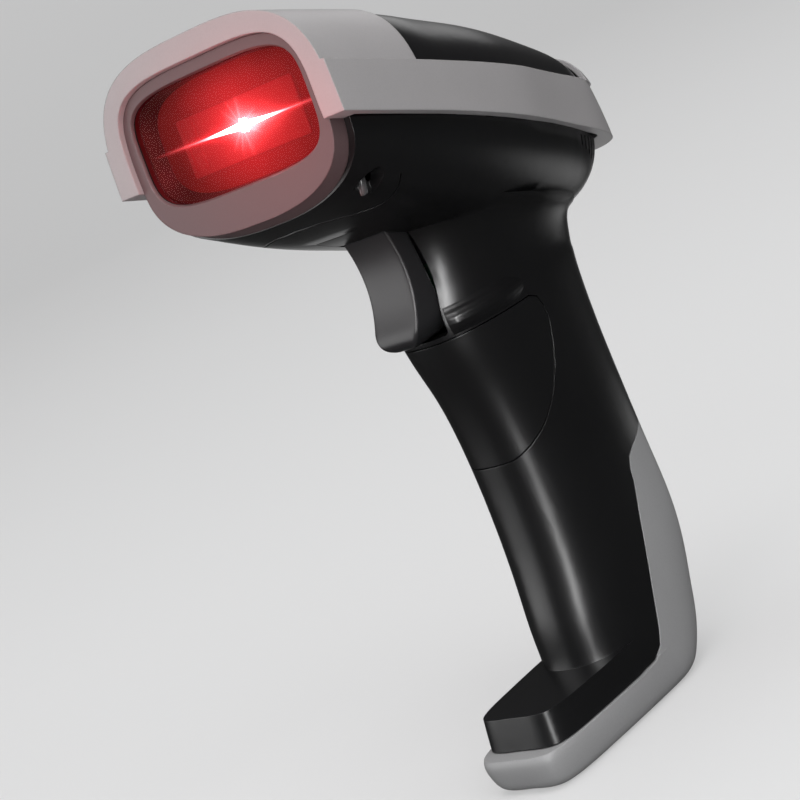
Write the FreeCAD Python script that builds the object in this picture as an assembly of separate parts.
import FreeCAD, Part
import math
import os

# Handheld barcode scanner, pistol form, millimetres.
# Frame: origin at the centre of the sole's resting face, +Z up, the scan window looks
# along -Y (front), +X is the scanner's left-hand side.
# Head frame: x, distance along the head axis towards the tail, height across the axis.
# Face frame: x, depth behind the window face, height up the face.

Vector = FreeCAD.Vector
X_AXIS, Y_AXIS, Z_AXIS = (1, 0, 0), (0, 1, 0), (0, 0, 1)
SIDES = (1, -1)

# ---------------------------------------------------------------- dimensions
HEAD_TILT = 20.0          # head axis rises towards the window, degrees
FACE_TILT = 12.5          # window face leans forward of square to the head axis
HEAD_ORIGIN = Vector(0, -27.0, 147.0)   # foot of the hood legs
HOOD_DEPTH = 25.6         # hood length behind the face
BELT_LOW, BELT_TOP = -0.9, 9.5          # belt band, head frame heights
WALL = 2.2                # moulded wall
SEAM = 0.25               # gap between neighbouring mouldings
SOLE_TOP = 8.5            # joint line between sole and toe
TOE_TOP = 15.7
SOLE_SCREW_Y = -18.5
PIVOT_Y, PIVOT_Z = -18.2, 130.2         # trigger pivot
PIN_R = 1.0
PIN_HALF = 22.4           # half length of the trigger pin
RUN = 0.04                # running clearance, radial
TRIGGER_W = 6.6           # half width
SLOT_W = TRIGGER_W + 0.45               # half width of the trigger slot
CELL_R, CELL_L = 9.1, 65.0              # 18650 cell
CELL_Y, CELL_Z = 25.5, 19.5             # cell axis and lower end
CELL_TOP = CELL_Z + CELL_L
USB_Y = 12.0
CHARGE_BASE, CHARGE_TOP = 7.8, 9.0      # charging board
POST_FOOT = 2.2           # foot of the charging board's posts

# window group: depths behind the face
BEZEL_FRONT, BEZEL_BACK = 1.3, 5.0
LENS_FRONT, LENS_BACK = 2.4, 4.0
WINDOW_W, WINDOW_LOW, WINDOW_HIGH = 26.6, -7.0, 17.0    # half width and heights of the opening

# head frame heights and stations
BOARD_BASE = -9.0         # decode board
BOARD_TOP = BOARD_BASE + 1.6
ENGINE_FRONT, ENGINE_REAR, ENGINE_W = 10.5, 38.0, 19.6  # ENGINE_W is the half width
ENGINE_BASE, ENGINE_TOP = -6.0, 14.6
ENGINE_DECK = ENGINE_BASE + 1.6         # upper side of the engine's floor
MIRROR_ALONG, MIRROR_TURN = 24.0, 40.0  # mirror staff and its turn in degrees
LASER_H = 4.0             # height of the laser's axis
BOSS_HEIGHT = 4.6         # screw bosses in the belt

# switch group
BRACKET_FRONT, BRACKET_BACK, BRACKET_W = 12.6, 14.2, 10.9
SWITCH_BACK, SWITCH_Z = 11.4, 110.0
BRACKET_SCREW_X, BRACKET_SCREW_Z = 9.3, 101.0
SPRING_Y, SPRING_LOW, SPRING_HIGH = 1.2, 118.95, 124.0

# screw places of one side; head screws are (x, along), charging board screws (x, y)
FRAME_SCREWS = ((25.9, 44.0), (15.4, 82.0))
BOARD_SCREWS = ((13.0, 24.0), (15.6, 66.5))
ENGINE_SCREW = (22.6, 31.0)
CHARGE_SCREWS = ((7.6, 2.5), (7.6, 21.5))

SECTION_POINTS = 32       # points round a closed section
BIG = 200.0               # reach of unbounded cutting bodies
REACH = 60.0              # reach of cutting bodies in the head

# -------------------------------------------------------------------- tables
# belt plan: distance along the head, half width
BELT = [(-9, 35.6), (0, 35.4), (12, 34.9), (24, 34.2), (36, 33.2), (45, 32.1), (53, 30.7),
        (60, 29.0), (67, 26.7), (75, 24.1), (82, 22.0), (89, 19.9), (95, 17.3), (99.5, 14.1),
        (103, 9.6), (104.9, 4.9)]
BELT_END = 105.4
# joint between belt and bowl: along, height
RIM = [(-30, BELT_LOW), (30, BELT_LOW), (70, -1.5), (120, -3.6), (140, -4.0)]
# lower bowl of the head: along, half width, reach below the axis
BOWL = [(-4, 30.8, 13.6), (3, 31.2, 14.3), (15, 31.6, 16.8), (27, 31.3, 18.8),
        (45, 29.5, 20.3), (60, 26.6, 20.8), (74, 22.9, 20.2), (84, 19.5, 18.6),
        (91, 16.3, 15.8), (96, 12.9, 12.2), (99.5, 9.3, 8.4), (101.8, 5.4, 4.6)]
# hood: along, half width, reach above the axis
HOOD = [(-9, 34.7, 24.6), (0, 34.6, 24.9), (12, 34.4, 25.2), (28, 33.8, 25.5)]
# dome behind the hood: along, reach above the axis
DOME = [(14, 25.3), (24, 25.2), (36, 24.9), (53, 23.8), (67, 22.3), (79, 20.4), (87, 18.4),
        (92.5, 16.0), (96.5, 13.6), (99.0, 12.0)]
# grip, level sections: z, front y, widest y, rear y, half width
GRIP = [(0.0, -7.0, 13.0, 23.8, 9.9), (0.5, -7.0, 13.1, 25.6, 11.2),
        (1.5, -7.0, 13.3, 27.5, 12.3), (3.2, -7.0, 13.7, 29.4, 12.95),
        (5.5, -6.9, 14.3, 31.5, 13.25), (8.5, -6.6, 15.0, 33.8, 13.4),
        (15, -5.0, 16.5, 37.0, 13.6), (23, -3.9, 18.3, 40.5, 13.8),
        (33, -1.8, 20.0, 43.1, 14.0), (47, 0.5, 21.5, 43.9, 14.0),
        (62, 1.8, 22.5, 44.7, 14.0), (79, 1.2, 23.0, 46.1, 14.2),
        (91.4, -0.9, 23.5, 47.8, 14.9)]
# neck, flaring into the bowl: as GRIP with z taken at LEAN_Y, then the plane's lean
NECK = [(94.2, -0.9, 23.8, 48.2, 15.0, -0.06), (98.0, 1.4, 24.2, 48.3, 15.0, -0.2),
        (104.7, 2.0, 24.6, 48.7, 16.2, -0.364), (107.3, 1.4, 24.6, 49.2, 17.3, -0.364),
        (109.5, -0.5, 24.6, 50.0, 19.2, -0.364), (111.6, -3.4, 24.2, 51.2, 22.0, -0.364)]
LEAN_Y = 25.0
# fore part of the sole: z, front y, half width at the front
FOOT = [(0.0, -26.4, 9.5), (0.5, -27.9, 10.7), (1.5, -29.1, 11.6), (3.2, -29.9, 12.1),
        (5.5, -30.4, 12.4), (7.4, -30.4, 12.4), (8.5, -29.9, 12.2), (9.5, -29.0, 11.9)]
FOOT_WIDEST = 13.5
# toe: z, front y, half width, half width at the front
TOE = [(SOLE_TOP - 1.0, -26.6, 12.6, 12.0), (12.0, -25.7, 12.6, 11.7),
       (TOE_TOP, -24.9, 12.5, 11.4)]
# D-shaped door on the grip's sides and front: y, z
DOOR = [(-30, 91.2), (19.2, 91.2), (21.2, 90.2), (22.1, 87.8), (22.1, 84.6), (20.4, 79.8),
        (17.9, 75.2), (14.1, 70.2), (9.7, 66.1), (5.8, 63.5), (2.7, 61.8), (-30, 60.4)]
# heel frame, rear strip and sole: y, z
STRIP = [(70, 56.5), (46, 54.6), (36, 51.8), (30.4, 50.2), (27.6, 48.9), (26.1, 46.6),
         (25.4, 44.0), (21.9, 36.2), (17.4, 24.9), (13.0, 13.9), (11.4, 11.0), (8.2, 9.0),
         (3.0, SOLE_TOP), (-40, SOLE_TOP), (-40, -10), (70, -10)]
# shallow line across the belly, -X half up to the middle: x, y
BELLY_LINE = [(-26.9, -11.9), (-24.2, -11.4), (-21.8, -11.7), (-19.5, -12.3),
              (-17.5, -13.3), (-15.4, -14.7), (-11.4, -17.0), (-6.8, -18.6), (0, -19.2)]
# trigger's front face, top to bottom: y, z
TRIGGER_FRONT = [(-3.2, 119.0), (-2.3, 114.0), (-2.2, 110.0), (-2.8, 105.8), (-4.2, 101.8),
                 (-5.9, 98.6), (-7.0, 96.4), (-7.1, 94.8), (-6.1, 93.5), (-4.2, 93.05)]
# screw posts in the bowl: x, along, height of the top, radius
POSTS = [(*BOARD_SCREWS[0], BOARD_BASE, 2.2), (*BOARD_SCREWS[1], BOARD_BASE, 2.0),
         (*ENGINE_SCREW, ENGINE_BASE, 2.4),
         (*FRAME_SCREWS[0], BELT_LOW, 2.4), (*FRAME_SCREWS[1], BELT_LOW, 2.2)]


# ------------------------------------------------------------------- helpers
HEAD_PLACE = FreeCAD.Placement(HEAD_ORIGIN, FreeCAD.Rotation(Vector(1, 0, 0), -HEAD_TILT))
FACE_PLACE = FreeCAD.Placement(
    HEAD_ORIGIN, FreeCAD.Rotation(Vector(1, 0, 0), FACE_TILT - HEAD_TILT))


def placed(shape, placement):
    moved = shape.copy()
    moved.Placement = placement * moved.Placement
    return moved


def in_head(shape):
    """Carry a shape from the head frame to the scanner's frame."""
    return placed(shape, HEAD_PLACE)


def in_face(shape):
    """Carry a shape from the face frame to the scanner's frame."""
    return placed(shape, FACE_PLACE)


def head_point(x, along, height):
    return HEAD_PLACE.multVec(Vector(x, along, height))


def span(side, inner, outer):
    """The x range from inner to outer on one side, low end first."""
    return sorted((side * inner, side * outer))


def both_sides(places):
    """Each place on the +X side, then mirrored to the -X side."""
    return [(side * place[0], *place[1:]) for place in places for side in SIDES]


def box(x0, x1, y0, y1, z0, z1):
    return Part.makeBox(x1 - x0, y1 - y0, z1 - z0, Vector(x0, y0, z0))


def slab(y0=-BIG, y1=BIG, z0=-BIG, z1=BIG):
    return box(-BIG, BIG, y0, y1, z0, z1)


def rounded_box(x0, x1, y0, y1, z0, z1, radius, axis=Z_AXIS):
    """Box with its four edges along one axis rounded."""
    block = box(x0, x1, y0, y1, z0, z1)
    direction = Vector(*axis)

    def runs_along(edge):
        run = (edge.Vertexes[1].Point - edge.Vertexes[0].Point).normalize()
        return abs(abs(run.dot(direction)) - 1) < 1e-6

    return block.makeFillet(radius, [edge for edge in block.Edges if runs_along(edge)])


def cylinder(radius, length, base, axis=Z_AXIS):
    return Part.makeCylinder(radius, length, Vector(*base), Vector(*axis))


def prism_yz(outline, x0, x1):
    """Closed side profile carried across the width."""
    points = [Vector(x0, y, z) for y, z in outline]
    wire = Part.makePolygon(points + [points[0]])
    return Part.Face(wire).extrude(Vector(x1 - x0, 0, 0))


def outline_zone(outline, reach, grow=0.0):
    """Side outline, offset by grow, carried to reach on both sides."""
    points = [Vector(0, y, z) for y, z in outline]
    wire = Part.makePolygon(points + [points[0]])
    if grow:
        wire = wire.makeOffset2D(grow)
    profile = Part.Face(wire)
    profile.translate(Vector(-reach, 0, 0))
    return profile.extrude(Vector(2 * reach, 0, 0))


def bend(value, squareness):
    """Cosine or sine drawn out to a superellipse; 2 is round, more is squarer."""
    return math.copysign(abs(value) ** (2.0 / squareness), value)


def circle_steps():
    angles = [2 * math.pi * i / SECTION_POINTS for i in range(SECTION_POINTS)]
    return [(math.cos(angle), math.sin(angle)) for angle in angles]


def ring(points):
    curve = Part.BSplineCurve()
    curve.interpolate(Points=points, PeriodicFlag=True)
    return Part.Wire([curve.toShape()])


def loft(wires, ruled=False):
    return Part.makeLoft(wires, True, ruled, False)


def interp(table, at):
    """Linear reading of a two-column table."""
    if at <= table[0][0]:
        return table[0][1]
    for (start, first), (end, last) in zip(table, table[1:]):
        if at <= end:
            return first + (last - first) * (at - start) / (end - start)
    return table[-1][1]


def solid(shape):
    """Largest solid of a result, as one plain solid."""
    return sorted(shape.Solids, key=lambda body: -body.Volume)[0]


def swept_solid(path, profile):
    """Sweep a profile; the result may come back as a bare shell, which is then closed."""
    sweep = path.makePipeShell([profile], True, True)
    return sweep.Solids[0] if sweep.Solids else Part.Solid(sweep.Shells[0])


def chain_face(curve_edge, corners):
    """Face bounded by a curved edge and straight lines through the corners."""
    lines = [Part.makeLine(a, b) for a, b in zip(corners, corners[1:])]
    return Part.Face(Part.Wire(Part.__sortEdges__([curve_edge] + lines)))


def cached(make):
    """Keep each grown form of a loft, as several pieces share it."""
    made = {}

    def get(grow=0.0):
        if grow not in made:
            made[grow] = make(grow)
        return made[grow]

    return get


def screw(radius, length, head_radius, head_height, place, direction):
    """Pan-head screw: head face at place, shank along direction, cross recess in the head."""
    place, direction = Vector(*place), Vector(*direction)
    direction.normalize()
    cap = Part.makeCylinder(head_radius, head_height, place, direction)
    rim = [edge for edge in cap.Edges if isinstance(edge.Curve, Part.Circle)
           and (edge.Curve.Center - place).Length < 1e-6]
    cap = cap.makeFillet(head_height * 0.35, rim)
    shank = Part.makeCylinder(radius, length, place + direction * head_height, direction)
    body = cap.fuse(shank).removeSplitter()
    turn = FreeCAD.Rotation(Vector(0, 0, 1), direction)
    slot_half, slot_w = head_radius * 0.62, 0.22 * head_radius
    for angle in (0, 90):
        slot = box(-slot_half, slot_half, -slot_w, slot_w, -0.1, head_height * 0.54)
        slot.Placement = FreeCAD.Placement(
            place, turn * FreeCAD.Rotation(Vector(0, 0, 1), angle))
        body = body.cut(slot)
    return body


def head_screw(x, along, seat, radius, length, head_radius, head_height):
    """Screw driven down across the head axis, its head resting at height seat."""
    tilt = math.radians(HEAD_TILT)
    return screw(radius, length, head_radius, head_height,
                 head_point(x, along, seat + head_height),
                 (0, -math.sin(tilt), -math.cos(tilt)))


# --------------------------------------------------------------- outer forms
def head_section(along, half_width, above, below, square_above, square_below, grow=0.0):
    """Closed section across the head, reaching above and below its axis."""
    points = []
    for cosine, sine in circle_steps():
        squareness = square_above if sine >= 0 else square_below
        reach = (above if sine >= 0 else below) + grow
        points.append(Vector((half_width + grow) * bend(cosine, squareness), along,
                             reach * bend(sine, squareness)))
    return ring(points)


def level_section(z, front, widest, rear, half_width, square_front, square_rear,
                  front_width=None, grow=0.0, lean=0.0):
    """Closed level section of grip or foot, front and rear halves shaped apart.
    front_width is the half width at the front end, lean tips the section's plane."""
    points = []
    fore = widest - front + grow
    for cosine, sine in circle_steps():
        if cosine < 0:
            y = fore * bend(cosine, square_front)
            width = half_width
            if front_width is not None:
                width += (front_width - half_width) * (-y / fore)
            x = width * bend(sine, square_front)
        else:
            y = (rear - widest + grow) * bend(cosine, square_rear)
            x = half_width * bend(sine, square_rear)
        points.append(Vector(x * (1 + grow / half_width), widest + y,
                             z + lean * (widest + y - LEAN_Y)))
    return ring(points)


@cached
def bowl(grow):
    """Lower bowl of the head; growth also moves the tail end."""
    tail = 80
    wires = []
    for along, width, below in BOWL:
        if along >= tail:
            along += grow * (along - tail) / (BOWL[-1][0] - tail)
        wires.append(head_section(along, width, 9.0, below, 2.6, 2.55, grow))
    return loft(wires)


@cached
def grip(grow):
    """Grip and neck as one loft."""
    stations = [(*row, 0.0) for row in GRIP] + NECK
    return loft([level_section(*row, 2.5, 2.35, None, grow, lean)
                 for *row, lean in stations])


def foot():
    """Fore part of the sole; behind its widest line the grip's form carries on."""
    widths = [(row[0], row[4]) for row in GRIP]
    wires = [level_section(z, front, FOOT_WIDEST, 24.0, interp(widths, z) + 0.02, 6.5, 2.35,
                           front_width) for z, front, front_width in FOOT]
    return loft(wires).common(slab(y1=FOOT_WIDEST))


def toe():
    return loft([level_section(z, front, 6.0, 22.0, width, 7.0, 3.0, front_width)
                 for z, front, width, front_width in TOE])


def belt_wire(height, grow, tail):
    """Plan outline of the belt; tail shifts the rear end."""
    def stretch(along):
        return along + tail * max(0.0, (along - 60.0) / 45.0)

    side = [Vector(width + grow, stretch(along) + (grow if along > 95 else 0), height)
            for along, width in BELT]
    rear = [Vector(0, stretch(BELT_END) + grow, height)]
    other = [Vector(-point.x, point.y, point.z) for point in reversed(side)]
    curve = Part.BSplineCurve()
    curve.interpolate(Points=side + rear + other)
    return Part.Wire([curve.toShape(), Part.makeLine(other[-1], side[0])])


def belt_form(*stations):
    """Belt loft through (height, grow, tail) stations."""
    return loft([belt_wire(*station) for station in stations])


def hood_form(grow=0.0):
    return loft([head_section(along, width, above, 8.0, 3.2, 2.4, grow)
                 for along, width, above in HOOD])


def dome_form(grow=0.0, tail=0.0):
    """Dome over the belt; tail shifts the sections at the rear end."""
    wires = []
    for along, above in DOME:
        read_at = along + (along - 60) * 0.03 if along > 60 else along
        width = (interp(BELT, read_at) - 1.1) / 0.972
        if along > 90:
            width -= (along - 90) * 0.30
            along += tail
        wires.append(head_section(along, width, above, 8.0, 2.7, 2.4, grow))
    return loft(wires)


def throat_form(grow=0.0):
    """Throat inside the hood, also the outline of the window bezel."""
    def pushed(value):
        return value + math.copysign(grow, value) if abs(value) > 1e-6 else value

    depths = [(row[0], row[2]) for row in BOWL]
    wires = []
    for along in (-9, 2, 14):
        below = interp(depths, along)
        points = []
        for cosine, sine in circle_steps():
            squareness, reach = (4.2, 19.8) if sine >= 0 else (2.6, below)
            points.append(Vector(pushed(29.5 * bend(cosine, squareness)), along,
                                 pushed(reach * bend(sine, squareness))))
        wires.append(ring(points))
    return loft(wires)


def under_rim(floor):
    """Everything under the joint of belt and bowl, down to floor; head frame."""
    return prism_yz(RIM + [(140, floor), (-30, floor)], -REACH, REACH)


def head_zone(along0, along1, low, high=REACH):
    return box(-REACH, REACH, along0, along1, low, high)


# ------------------------------------------------------------- main housing
def housing_shell():
    """Grip, toe and bowl in one hollow moulding."""
    bowl_outer = in_head(bowl()).common(in_head(under_rim(-60)))
    outer = grip().common(slab(z0=SOLE_TOP - 1.0)).fuse([toe(), bowl_outer])
    grip_inner = grip(-WALL).common(slab(z0=SOLE_TOP - 3))
    bowl_inner = in_head(bowl(-WALL)).common(in_head(slab(y1=99.0, z1=BELT_LOW + 2)))
    toe_inner = box(-9.0, 9.0, -22.6, 6.0, SOLE_TOP - 3, TOE_TOP - 2.0)
    return solid(outer.cut([
        grip_inner, bowl_inner, toe_inner, outline_zone(STRIP, 40, SEAM),
        in_face(slab(y1=BEZEL_BACK)), slab(z1=SOLE_TOP + SEAM)]))


def housing_bosses():
    """Posts, pivot bosses, bracket lugs, door backing and sole screw boss."""
    post_foot = -22.0
    bowl_adds = [in_head(cylinder(radius, top - post_foot, (x, along, post_foot)))
                 for x, along, top, radius in both_sides(POSTS)]
    grip_adds = []
    for side in SIDES:
        x0, x1 = span(side, 7.4, 27.0)
        bowl_adds.append(cylinder(2.7, x1 - x0, (x0, PIVOT_Y, PIVOT_Z), X_AXIS))
        bowl_adds.append(box(x0, x1, PIVOT_Y - 0.9, PIVOT_Y + 0.9, PIVOT_Z - 9, PIVOT_Z))
        grip_adds.append(box(*span(side, 7.5, 17), 14.3, 20.5, 97.0, 112.0))
    bowl_adds = Part.makeCompound(bowl_adds).common(in_head(bowl(-0.7)))
    grip_adds = Part.makeCompound(grip_adds).common(grip(-0.7))
    pad = prism_yz([(-10, 96.5), (27, 96.5), (27, 80), (22, 68), (8, 58.5), (-10, 58.5)],
                   -30, 30)
    pad = grip(-1.0).common(pad).cut(grip(-4.2))
    boss_base = SOLE_TOP + SEAM
    sole_boss = cylinder(2.6, TOE_TOP - 1.0 - boss_base, (0, SOLE_SCREW_Y, boss_base))
    return bowl_adds.Solids + grip_adds.Solids + [pad, sole_boss]


def fastening_holes():
    """Bores for screws and trigger pin."""
    holes = [in_head(cylinder(0.85, 8.0, (x, along, top - 6.5)))
             for x, along, top, radius in both_sides(POSTS)]
    for side in SIDES:
        pin_end = (side * (PIN_HALF - 0.75), PIVOT_Y, PIVOT_Z)
        holes.append(cylinder(2.5, 12, pin_end, (side, 0, 0)))
        lug = (side * BRACKET_SCREW_X, 13.5, BRACKET_SCREW_Z)
        holes.append(cylinder(0.8, 6.0, lug, Y_AXIS))
    holes.append(cylinder(PIN_R + 0.02, 80, (-40, PIVOT_Y, PIVOT_Z), X_AXIS))
    holes.append(cylinder(1.0, 5.4, (0, SOLE_SCREW_Y, SOLE_TOP)))
    return holes


def grip_openings():
    """Door recess, compartment mouth, trigger slot and the pocket above it."""
    relief = cylinder(2.75, 2 * SLOT_W, (-SLOT_W, PIVOT_Y, PIVOT_Z), X_AXIS).fuse(
        prism_yz([(PIVOT_Y - 1.2, PIVOT_Z - 2.6), (PIVOT_Y + 1.2, PIVOT_Z + 2.6), (1, 126),
                  (1, 119.2), (-4, 119.0)], -SLOT_W, SLOT_W))
    return [outline_zone(DOOR, 30, SEAM).cut(grip(-2.1)),
            rounded_box(-7.5, 7.5, -10, 16, 68.0, 87.0, 2.0, Y_AXIS),
            rounded_box(-SLOT_W, SLOT_W, -14, 8.6, 92.45, 121.2, 1.0, Y_AXIS),
            box(-SLOT_W, SLOT_W, -6.4, 8.6, 110, 124.5),
            relief.common(in_head(bowl(-1.1)))]


def sound_slots():
    """Slots round the tail, under the belt: five a side and five at the rear."""
    half = 0.42
    slots = []
    for i in range(5):
        along = 84.6 + 2.1 * i
        for side in SIDES:
            slots.append(in_head(rounded_box(*span(side, 9, 26), along - half, along + half,
                                             -5.5 - 0.75 * i, -3.0, 0.4, X_AXIS)))
    for i in range(-2, 3):
        x = 2.6 * i
        slots.append(in_head(rounded_box(x - half, x + half, 91.5, 112, -9.2, -3.5, 0.4,
                                         Y_AXIS)))
    return slots


def belly_groove():
    """Shallow line across the belly, ahead of the trigger."""
    line = BELLY_LINE + [(-x, y) for x, y in reversed(BELLY_LINE[:-1])]
    edge = [Vector(x, y - 0.2, 118) for x, y in line]
    edge += [Vector(x, y + 0.2, 118) for x, y in reversed(line)]
    groove = Part.Face(Part.makePolygon(edge + [edge[0]])).extrude(Vector(0, 0, 11.6))
    return groove.cut(in_head(bowl(-0.35)))


def main_housing():
    housing = solid(housing_shell().fuse(housing_bosses()))
    return solid(housing.cut(
        fastening_holes() + grip_openings() + sound_slots() + [belly_groove()]))


# ------------------------------------------------------------ hood and panel
def hood_frame():
    """Belt round the head, hood over the window and arch at the tail."""
    belt = belt_form((-4.2, 0.35, 1.1), (-1.0, 0.15, 0.6), (3.0, 0.0, -0.6),
                     (BELT_TOP, -0.35, -3.2))
    belt = in_head(belt.cut(under_rim(-30)))
    hood = in_head(hood_form().common(head_zone(-20, 40, BELT_TOP - 0.5)))
    hood = hood.common(in_face(slab(y1=HOOD_DEPTH)))
    arch = in_head(dome_form(0.6, 2.6).common(head_zone(92.0, 120, BELT_TOP - 0.3)))
    frame = belt.fuse([hood, arch])

    # throat at the window and the hollow behind it
    throat = in_head(throat_form(0.06)).common(in_face(slab(y1=BEZEL_BACK + 0.02)))
    behind = in_face(slab(y0=BEZEL_BACK))
    inner_belt = in_head(belt_form((-8, -2.5, -0.4), (4, -2.6, -1.6),
                                   (BELT_TOP + 0.2, -2.8, -4.2))).common(behind)
    roof = BELT_TOP - 1.5
    inner_hood = in_head(hood_form(-2.4).common(head_zone(-20, 40, roof))).common(behind)
    inner_dome = in_head(dome_form(-1.6, 1.2).common(head_zone(40, 100.2, roof)))
    panel_seat = in_head(dome_form(0.2, 0.6).common(head_zone(40, 96.6, BELT_TOP)))
    frame = solid(frame.cut([in_face(slab(y1=0.0)), throat, inner_belt, inner_hood,
                             inner_dome, panel_seat]))

    bosses, bores = [], []
    for (x, along), radius in zip(FRAME_SCREWS, (2.6, 2.5)):
        for side in SIDES:
            bosses.append(in_head(cylinder(radius, BOSS_HEIGHT, (side * x, along, BELT_LOW))))
            bosses.append(in_head(box(*span(side, x, x + 4.6), along - 1.6, along + 1.6,
                                      BELT_LOW, BELT_LOW + BOSS_HEIGHT)))
            bores.append(in_head(cylinder(1.15, 12, (side * x, along, -6))))
    return solid(frame.fuse(bosses).cut(bores))


def top_panel():
    outer = in_head(dome_form()).common(in_head(head_zone(10, 96.2, BELT_TOP)))
    outer = outer.cut(in_face(slab(y1=HOOD_DEPTH + SEAM)))
    inner = in_head(dome_form(-1.9)).common(in_head(head_zone(10, 94.4, BELT_TOP - 4)))
    return solid(outer.cut(inner))


# ------------------------------------------------------------- window group
def window_block(*stations):
    """Block of the window's outline through (depth, grow in width, grow in height)."""
    middle = (WINDOW_LOW + WINDOW_HIGH) / 2.0
    wires = []
    for depth, grow_width, grow_height in stations:
        half_height = (WINDOW_HIGH - WINDOW_LOW) / 2.0 + grow_height
        wires.append(ring([Vector((WINDOW_W + grow_width) * bend(cosine, 4.2), depth,
                                  middle + half_height * bend(sine, 4.2))
                           for cosine, sine in circle_steps()]))
    return in_face(loft(wires, True))


def nose_bezel():
    bezel = in_head(throat_form()).common(
        in_face(head_zone(BEZEL_FRONT, BEZEL_BACK, -REACH)))
    opening = window_block((BEZEL_FRONT - 0.4, 0.5, 0.75), (BEZEL_FRONT + 0.6, 0.0, 0.2),
                           (BEZEL_BACK + 0.4, -0.5, -0.3))
    bezel = solid(bezel.cut(opening))
    lens_seat = window_block((LENS_FRONT - 0.4, 0.75, 0.7), (BEZEL_BACK + 0.5, 0.75, 0.7))
    return solid(bezel.cut(lens_seat))


def window_lens():
    return solid(window_block((LENS_FRONT, 0.6, 0.55), (LENS_BACK, 0.6, 0.55)))


def window_gasket():
    outer = window_block((LENS_FRONT - 0.4, 0.65, 0.6), (LENS_FRONT, 0.65, 0.6))
    inner = window_block((LENS_FRONT - 1.4, 0.05, 0.22), (LENS_BACK, 0.05, 0.22))
    return solid(outer.cut(inner))


# ------------------------------------------------------- heel frame and door
def heel_frame():
    """Rear strip and sole in one piece, with posts for the charging board."""
    heel = grip().common(slab(z0=-1, z1=70)).fuse(foot())
    heel = solid(heel.common(outline_zone(STRIP, 40)))
    heel = heel.cut([grip(-WALL).common(slab(z0=6.0, z1=70)),
                     rounded_box(-9.0, 9.0, -25.6, 2, 2.6, SOLE_TOP + 1, 2.0),
                     rounded_box(-9.6, 9.6, -1.0, 26.5, 2.6, SOLE_TOP + 1, 2.0)])
    adds = [cylinder(2.9, SOLE_TOP, (0, SOLE_SCREW_Y, 0.0))]
    cuts = [cylinder(1.25, 20, (0, SOLE_SCREW_Y, -1)),
            cylinder(2.3, 4.6, (0, SOLE_SCREW_Y, -1)),
            rounded_box(-4.9, 4.9, USB_Y - 1.9, USB_Y + 1.9, -1, 4, 1.7)]
    for x, y in both_sides(CHARGE_SCREWS):
        adds.append(cylinder(1.5, CHARGE_BASE - POST_FOOT, (x, y, POST_FOOT)))
        cuts.append(cylinder(0.6, 3.6, (x, y, 4.6)))
    return solid(heel.fuse(adds).cut(cuts))


def battery_door():
    door = grip().common(prism_yz(DOOR, -30, 30)).cut(grip(-1.8))
    return solid(door.removeSplitter())


# ------------------------------------------------------------- trigger group
def trigger_blank():
    """Side profile of the trigger, trimmed to a round tip as seen from the front."""
    curve = Part.BSplineCurve()
    curve.interpolate(Points=[Vector(0, y, z) for y, z in TRIGGER_FRONT])
    edge = curve.toShape()
    top, bottom = edge.Vertexes[0].Point, edge.Vertexes[-1].Point
    profile = chain_face(edge, [bottom, Vector(0, 2.9, 93.0), Vector(0, 2.9, 118.9), top])
    profile.translate(Vector(-TRIGGER_W - 1.5, 0, 0))
    blank = profile.extrude(Vector(2 * TRIGGER_W + 3, 0, 0))

    tip_start, tip_low, plane_y = 98.5, 92.7, -20
    ellipse = Part.Ellipse(Vector(TRIGGER_W, plane_y, tip_start),
                           Vector(0, plane_y, tip_low), Vector(0, plane_y, tip_start))
    tip = Part.ArcOfEllipse(ellipse, 0, math.pi).toShape()
    front_view = chain_face(tip, [
        Vector(TRIGGER_W, plane_y, tip_start), Vector(TRIGGER_W, plane_y, 122),
        Vector(-TRIGGER_W, plane_y, 122), Vector(-TRIGGER_W, plane_y, tip_start)])
    return solid(blank.common(front_view.extrude(Vector(0, 40, 0))))


def round_front(body):
    """Round the rim of the trigger's front face."""
    faces = [face for face in body.Faces if face.BoundBox.ZLength > 15
             and face.BoundBox.XLength > 8 and face.CenterOfMass.y < -1]
    front = max(faces, key=lambda face: face.Area)
    rim = [edge for edge in front.OuterWire.Edges if edge.BoundBox.ZLength > 3]
    for radius in (0.6, 0.45, 0.3):
        # guards against a fillet that fails at this radius; a smaller one follows
        try:
            rounded = body.makeFillet(radius, rim)
            if rounded.isValid() and len(rounded.Solids) == 1:
                return rounded
        except Exception:
            pass
    return body


def trigger():
    body = round_front(trigger_blank())
    # hollow the back
    body = body.cut(rounded_box(-TRIGGER_W + 1.7, TRIGGER_W - 1.7, -0.4, 8, 96.4, 117.0, 2.2,
                                Y_AXIS))
    # push rib for the switch, shelf for the spring
    body = body.fuse(box(-2.6, 2.6, -1.0, 4.95, 105.2, 114.2))
    body = body.fuse(box(-4.4, 4.4, -2.0, 5.0, 116.9, 118.9))
    # arms to the pivot
    arm_outline = [(PIVOT_Y + 0.2, PIVOT_Z - 1.95), (PIVOT_Y + 0.9, PIVOT_Z + 1.9),
                   (2.6, 122.0), (2.6, 117.2), (-2.2, 117.2), (-3.0, 119.4)]
    hub_r = 2.05
    for side in SIDES:
        x0, x1 = span(side, 4.0, 6.3)
        body = body.fuse(prism_yz(arm_outline, x0, x1))
        body = body.fuse(cylinder(hub_r, x1 - x0, (x0, PIVOT_Y, PIVOT_Z), X_AXIS))
    body = body.fuse(cylinder(hub_r, 13.6, (-6.8, PIVOT_Y, PIVOT_Z), X_AXIS))
    # spring spigot and pivot bore
    body = body.fuse(cylinder(1.7, 0.9, (0, SPRING_Y, 118.9)))
    body = body.cut(cylinder(PIN_R + RUN, 40, (-20, PIVOT_Y, PIVOT_Z), X_AXIS))
    return solid(body.removeSplitter())


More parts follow.
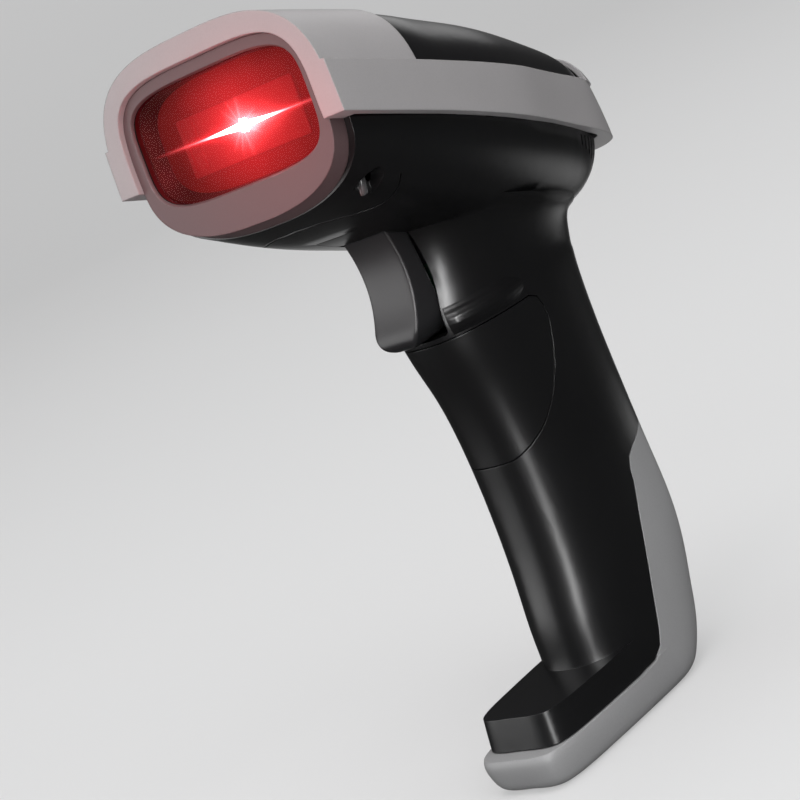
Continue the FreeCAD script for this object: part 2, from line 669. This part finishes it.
def trigger_pin():
    half = PIN_HALF - 0.8
    pin = cylinder(PIN_R, 2 * half, (-half, PIVOT_Y, PIVOT_Z), X_AXIS)
    for side in SIDES:
        pin = pin.fuse(cylinder(1.9, 0.7, (side * (PIN_HALF - 0.72), PIVOT_Y, PIVOT_Z),
                                (side, 0, 0)))
    return solid(pin)


def trigger_spring():
    """Return spring between the trigger's shelf and the bracket."""
    pitch, coil_r, wire_r = 1.15, 2.35, 0.28
    helix = Part.makeHelix(pitch, SPRING_HIGH - SPRING_LOW - 0.62, coil_r)
    profile = Part.Wire([Part.makeCircle(wire_r, Vector(coil_r, 0, 0), Vector(0, 1, 0.08))])
    spring = swept_solid(Part.Wire(helix.Edges), profile)
    spring.translate(Vector(0, SPRING_Y, SPRING_LOW + 0.31))
    return spring


def switch_bracket():
    bracket = rounded_box(-BRACKET_W, BRACKET_W, BRACKET_FRONT, BRACKET_BACK, 97.4, 116.0,
                          1.5, Y_AXIS)
    # the top flange slopes with the decode board above it; its tongue reaches between
    # the trigger's arms to the spring
    flange = [(4.4, SPRING_HIGH), (4.4, 125.5), (BRACKET_BACK, 121.6), (BRACKET_BACK, 114.0),
              (BRACKET_FRONT, 114.0), (BRACKET_FRONT, 119.9)]
    bracket = bracket.fuse([prism_yz(flange, -BRACKET_W, BRACKET_W),
                            box(-3.5, 3.5, -1.6, 4.6, SPRING_HIGH, 125.5)])
    for side in SIDES:
        bracket = bracket.fuse(prism_yz([(12.8, 120.4), (12.8, 115.4), (7.0, 123.2)],
                                        *span(side, 9.6, BRACKET_W)))
    bracket = bracket.cut(box(-4.6, 4.6, 12.4, 15.0, 117.0, 126.0))
    bracket = bracket.fuse(cylinder(1.7, 0.9, (0, SPRING_Y, SPRING_HIGH - 0.9)))
    for side in SIDES:
        bracket = bracket.cut(cylinder(
            1.0, 10, (side * BRACKET_SCREW_X, 10, BRACKET_SCREW_Z), Y_AXIS))
    return solid(bracket.removeSplitter())


def switch_board():
    return box(-7.2, 7.2, SWITCH_BACK, BRACKET_FRONT, 98.5, 119.4)


def trigger_switch():
    switch = rounded_box(-3.1, 3.1, 7.4, SWITCH_BACK, SWITCH_Z - 3.1, SWITCH_Z + 3.1, 0.5,
                         Y_AXIS)
    switch = switch.cut(cylinder(1.32, 4.2, (0, 7.0, SWITCH_Z), Y_AXIS))
    for side in SIDES:
        switch = switch.cut(box(*span(side, 2.0, 3.0), 7.3, 7.7, 107.6, 108.4))
    return solid(switch)


def switch_plunger():
    front = 5.1
    plunger = cylinder(1.28, 4.0, (0, front, SWITCH_Z), Y_AXIS)
    rim = [edge for edge in plunger.Edges if isinstance(edge.Curve, Part.Circle)
           and abs(edge.Curve.Center.y - front) < 1e-6]
    return plunger.makeFillet(0.35, rim)


# ------------------------------------------------------------ battery group
def battery_cell():
    cell = cylinder(CELL_R, CELL_L, (0, CELL_Y, CELL_Z))
    return cell.makeFillet(
        0.9, [edge for edge in cell.Edges if isinstance(edge.Curve, Part.Circle)])


def battery_cradle():
    """Sleeve round the cell, open to front and rear, with a slot in each end."""
    cradle = cylinder(CELL_R + 1.35, CELL_L + 4.4, (0, CELL_Y, CELL_Z - 2.2))
    cradle = cradle.cut(cylinder(CELL_R + 0.05, CELL_L + 0.8, (0, CELL_Y, CELL_Z - 0.4)))
    cradle = cradle.cut(box(-30, 30, -10, CELL_Y - 3.4, CELL_Z + 4, CELL_TOP - 4))
    cradle = cradle.cut(box(-30, 30, CELL_Y + 6.6, 60, CELL_Z + 8, CELL_TOP - 8))
    for low, high in ((CELL_TOP + 0.3, CELL_TOP + 5), (CELL_Z - 5, CELL_Z - 0.3)):
        cradle = cradle.cut(box(-2.2, 2.2, CELL_Y - 20, CELL_Y + 20, low, high))
    # it clears the shell's wall and the thicker wall behind the door
    behind_door = prism_yz([(-10, 97.0), (27.4, 97.0), (27.4, 79.8), (22.3, 67.6),
                            (8.2, 58.0), (-10, 58.0)], -30, 30).cut(grip(-4.4))
    return solid(cradle.common(grip(-WALL - 0.15)).cut(behind_door))


def battery_contacts():
    thick = 0.35
    return Part.Compound([
        rounded_box(-1.9, 1.9, CELL_Y - 4.5, CELL_Y + 4.5, low, low + thick, 0.8)
        for low in (CELL_TOP, CELL_Z - thick)])


# ------------------------------------------------------- charging and socket
def charge_board():
    board = rounded_box(-9.0, 9.0, 1.0, 24.6, CHARGE_BASE, CHARGE_TOP, 1.2)
    for x, y in both_sides(CHARGE_SCREWS):
        board = board.cut(cylinder(0.7, 4, (x, y, 6)))
    return board


def usb_socket():
    shell = rounded_box(-4.47, 4.47, USB_Y - 1.58, USB_Y + 1.58, 0.9, CHARGE_BASE, 1.5)
    shell = shell.cut(rounded_box(-4.17, 4.17, USB_Y - 1.28, USB_Y + 1.28, 0.0, 6.9, 1.25))
    return solid(shell.fuse(box(-3.3, 3.3, USB_Y - 0.35, USB_Y + 0.35, 1.6, 7.0)))


def charge_chips():
    return Part.Compound([box(-6.5, -1.5, 4.0, 8.5, CHARGE_TOP, CHARGE_TOP + 0.9),
                          box(1.5, 5.0, 4.0, 7.5, CHARGE_TOP, CHARGE_TOP + 1.0)])


# ----------------------------------------------------------- decode board
def decode_board():
    board = in_head(rounded_box(-17.4, 17.4, 19.0, 71.0, BOARD_BASE, BOARD_TOP, 2.0))
    for x, along in both_sides(BOARD_SCREWS):
        board = board.cut(in_head(cylinder(1.1, 6, (x, along, BOARD_BASE - 2))))
    return board


def decoder_shield():
    """Open-bottomed can with a four by four grid of holes."""
    shield = in_head(rounded_box(-10.5, 10.5, 42.5, 61.5, BOARD_TOP, BOARD_TOP + 2.6, 0.8))
    shield = shield.cut(in_head(box(-10.2, 10.2, 42.8, 61.2, BOARD_TOP - 0.1,
                                    BOARD_TOP + 2.3)))
    for i in range(4):
        for j in range(4):
            hole = (-7.2 + 4.8 * i, 45.0 + 4.7 * j, BOARD_TOP + 1.5)
            shield = shield.cut(in_head(cylinder(0.7, 2, hole)))
    return solid(shield)


def decoder_chips():
    # x range, range along the head, thickness
    chips = ((-8.5, 0.5, 45.5, 54.5, 1.2), (2.5, 8.5, 46.0, 52.0, 1.0),
             (-6.0, 4.0, 56.5, 60.0, 0.9))
    return Part.Compound([in_head(box(*plan, BOARD_TOP, BOARD_TOP + thick))
                          for *plan, thick in chips])


def radio_module():
    module = in_head(box(-6.0, 6.0, 62.6, 70.2, BOARD_TOP, BOARD_TOP + 1.7))
    return module.cut(in_head(box(-5.0, 5.0, 67.4, 69.6, BOARD_TOP + 1.4, BOARD_TOP + 2)))


def beeper():
    body = in_head(cylinder(6.2, 5.2, (0, 84.6, -5.6), Y_AXIS))
    return body.cut(in_head(cylinder(1.1, 1.4, (0, 88.8, -5.6), Y_AXIS)))


def beeper_holder():
    plate = in_head(rounded_box(-8.2, 8.2, 83.2, 84.6, -11.4, 0.6, 1.0, Y_AXIS))
    arms = in_head(box(-13.1, 13.1, 81.0, 84.2, -2.9, -1.3))
    arms = arms.cut(in_head(box(-8.2, 8.2, 80.0, 83.2, -3.5, 2)))
    return solid(plate.fuse(arms))


# ------------------------------------------------------------- scan engine
def engine_chassis():
    """Open tray with a window in its front wall, side ears and a mirror bearing."""
    inner_w = ENGINE_W - 1.5
    tray = in_head(box(-ENGINE_W, ENGINE_W, ENGINE_FRONT, ENGINE_REAR, ENGINE_BASE,
                       ENGINE_TOP))
    tray = tray.cut(in_head(box(-inner_w, inner_w, ENGINE_FRONT + 1.5, ENGINE_REAR - 1.5,
                                ENGINE_DECK, ENGINE_TOP + 1)))
    tray = tray.cut(in_head(box(-ENGINE_W + 1.2, ENGINE_W - 1.2, ENGINE_FRONT - 1,
                                ENGINE_FRONT + 2, -0.9, 12.0)))
    x, along = ENGINE_SCREW
    for side in SIDES:
        tray = tray.fuse(in_head(rounded_box(
            *span(side, ENGINE_W - 0.5, 25.2), along - 3.4, along + 3.4, ENGINE_BASE,
            ENGINE_DECK, 1.2)))
        tray = tray.cut(in_head(cylinder(1.2, 6, (side * x, along, ENGINE_BASE - 2))))
    tray = tray.cut(in_head(box(-8, 8, ENGINE_REAR - 2, ENGINE_REAR + 1, -3.8, -2.6)))
    tray = tray.fuse(in_head(cylinder(1.6, 1.2, (0, MIRROR_ALONG, ENGINE_BASE + 1.5))))
    tray = tray.cut(in_head(cylinder(0.64, 1.6, (0, MIRROR_ALONG, ENGINE_DECK))))
    return solid(tray.removeSplitter())


def engine_lid():
    lid = in_head(rounded_box(-ENGINE_W, ENGINE_W, ENGINE_FRONT, ENGINE_REAR, ENGINE_TOP,
                              ENGINE_TOP + 0.8, 1.5))
    return lid.cut(in_head(cylinder(0.64, 3, (0, MIRROR_ALONG, ENGINE_TOP - 1))))


def laser_cylinder(radius, length, inset):
    """Cylinder on the laser's axis, starting inset from the engine's -X side."""
    return in_head(cylinder(radius, length, (-ENGINE_W + inset, MIRROR_ALONG, LASER_H),
                            X_AXIS))


def laser_module():
    """Barrel lying across the head, firing at the mirror."""
    return laser_cylinder(3.4, 9.6, 1.5).cut(laser_cylinder(2.2, 2.0, 9.7))


def laser_lens():
    return laser_cylinder(2.15, 0.9, 9.75)


def laser_cradle():
    bore = 3.42
    cradle = in_head(box(-ENGINE_W + 3.0, -ENGINE_W + 8.6, MIRROR_ALONG - 4.6,
                         MIRROR_ALONG + 4.6, ENGINE_DECK, 6.4))
    cradle = cradle.cut(laser_cylinder(bore, 12, 1.0))
    return cradle.cut(in_head(box(-ENGINE_W, -ENGINE_W + 12, MIRROR_ALONG - bore,
                                  MIRROR_ALONG + bore, LASER_H, 8)))


def turn_to_mirror(shape):
    """Turn a shape about the staff's axis and set it at the staff's station."""
    shape.rotate(Vector(0, 0, 0), Vector(0, 0, 1), MIRROR_TURN)
    shape.translate(Vector(0, MIRROR_ALONG, 0))


def scan_mirror():
    """Swinging mirror with its hub, magnet and staff."""
    mirror = box(-6.6, 6.6, -1.1, -0.1, -2.0, 10.0)
    mirror = mirror.fuse(box(-2.2, 2.2, -0.15, 1.9, -1.0, 9.0))
    mirror = mirror.fuse(box(-1.6, 1.6, 1.8, 4.4, 2.2, 5.8))
    staff_y = 0.55
    mirror = mirror.fuse(cylinder(0.6, 19.0, (0, staff_y, -3.9)))
    mirror.translate(Vector(0, -staff_y, 0))
    turn_to_mirror(mirror)
    return in_head(solid(mirror.removeSplitter()))


def drive_coil():
    coil = cylinder(4.0, 2.6, (0, 6.8, LASER_H), Y_AXIS)
    coil = coil.cut(cylinder(2.3, 4, (0, 6.0, LASER_H), Y_AXIS))
    coil = coil.fuse(box(-1.6, 1.6, 6.8, 9.4, -4.4, 0.6))
    turn_to_mirror(coil)
    return in_head(solid(coil))


def sensor_board():
    return in_head(box(ENGINE_W - 2.7, ENGINE_W - 1.5, 14.5, 34.0, -3.9, 11.0))


def photodiode():
    diode = in_head(box(ENGINE_W - 4.3, ENGINE_W - 2.7, 21.0, 27.0, 1.0, 7.0))
    return diode.cut(in_head(box(ENGINE_W - 4.4, ENGINE_W - 3.9, 21.8, 26.2, 1.8, 6.2)))


# ------------------------------------------------------------------- wiring
def engine_flex():
    """Flat strip from the engine's rear down to the decode board."""
    return in_head(prism_yz([(36.3, -3.35), (41.9, -3.35), (41.9, BOARD_TOP),
                             (41.6, BOARD_TOP), (41.6, -3.65), (36.3, -3.65)], -6.0, 6.0))


def trigger_flex():
    """Flat strip from behind the bracket up to the decode board."""
    end = head_point(0, 46.6, BOARD_BASE)
    return prism_yz([(BRACKET_BACK, 112.4), (14.6, 112.4), (14.6, 117.4),
                     (end.y + 0.4, end.z - 2.4), (end.y + 0.4, end.z - 0.28),
                     (end.y, end.z - 0.14), (end.y, end.z - 2.3), (BRACKET_BACK, 117.6)],
                    -4.0, 4.0)


def battery_leads():
    """Two leads from the cell's upper contact to the socket under the board."""
    leads = []
    for side in SIDES:
        start = Vector(side * 1.2, CELL_Y + 0.5, CELL_TOP + 0.65)
        end = head_point(side * 3.0, 58.6, BOARD_BASE - 2.95)
        middle = Vector(side * 4.5, (start.y + end.y) / 2 + 2, (start.z + end.z) / 2)
        curve = Part.BSplineCurve()
        curve.interpolate(Points=[start, start + Vector(0, 0, 5), middle,
                                  end - Vector(0, -0.6, 4), end])
        tangent = curve.tangent(curve.FirstParameter)[0]
        profile = Part.Wire([Part.makeCircle(0.55, start, tangent)])
        leads.append(swept_solid(Part.Wire([curve.toShape()]), profile))
    return Part.Compound(leads)


def lead_socket():
    return in_head(box(-4.6, 4.6, 56.4, 60.8, BOARD_BASE - 2.6, BOARD_BASE))


# -------------------------------------------------------------------- screws
def head_screws(places, *sizes):
    return Part.Compound([head_screw(*place, *sizes) for place in both_sides(places)])


# sizes: seat height, shank radius and length, head radius and height
def frame_screws():
    return head_screws(FRAME_SCREWS, BELT_LOW + BOSS_HEIGHT, 0.84, 8.4, 1.9, 1.2)


def board_screws():
    return head_screws(BOARD_SCREWS, BOARD_TOP, 0.82, 5.6, 1.7, 1.0)


def engine_screws():
    return head_screws([ENGINE_SCREW], ENGINE_DECK, 0.82, 5.8, 1.8, 1.1)


def bracket_screws():
    head_height = 1.0
    place = (BRACKET_SCREW_X, BRACKET_FRONT - head_height, BRACKET_SCREW_Z)
    return Part.Compound([screw(0.78, 5.6, 1.5, head_height, spot, Y_AXIS)
                          for spot in both_sides([place])])


def sole_screw():
    return screw(0.98, 7.6, 2.1, 1.4, (0, SOLE_SCREW_Y, 2.2), Z_AXIS)


def charge_screws():
    head_height = 0.7
    return Part.Compound([
        screw(0.58, 3.6, 1.1, head_height, (x, y, CHARGE_TOP + head_height), (0, 0, -1))
        for x, y in both_sides(CHARGE_SCREWS)])


# --------------------------------------------------------------------- write
# each function builds the piece it is named after
PIECES = (
    main_housing, hood_frame, top_panel, nose_bezel, window_lens, window_gasket,
    heel_frame, battery_door, trigger, trigger_pin, trigger_spring, switch_bracket,
    switch_board, trigger_switch, switch_plunger, battery_cell, battery_cradle,
    battery_contacts, charge_board, usb_socket, charge_chips, decode_board,
    decoder_shield, decoder_chips, radio_module, beeper, beeper_holder, engine_chassis,
    engine_lid, laser_module, laser_lens, laser_cradle, scan_mirror, drive_coil,
    sensor_board, photodiode, engine_flex, trigger_flex, battery_leads, lead_socket,
    frame_screws, board_screws, engine_screws, bracket_screws, sole_screw, charge_screws)

os.makedirs("parts", exist_ok=True)
for name in os.listdir("parts"):
    if name.endswith(".step"):
        os.remove(os.path.join("parts", name))
for piece in PIECES:
    piece().exportStep("parts/%s.step" % piece.__name__)
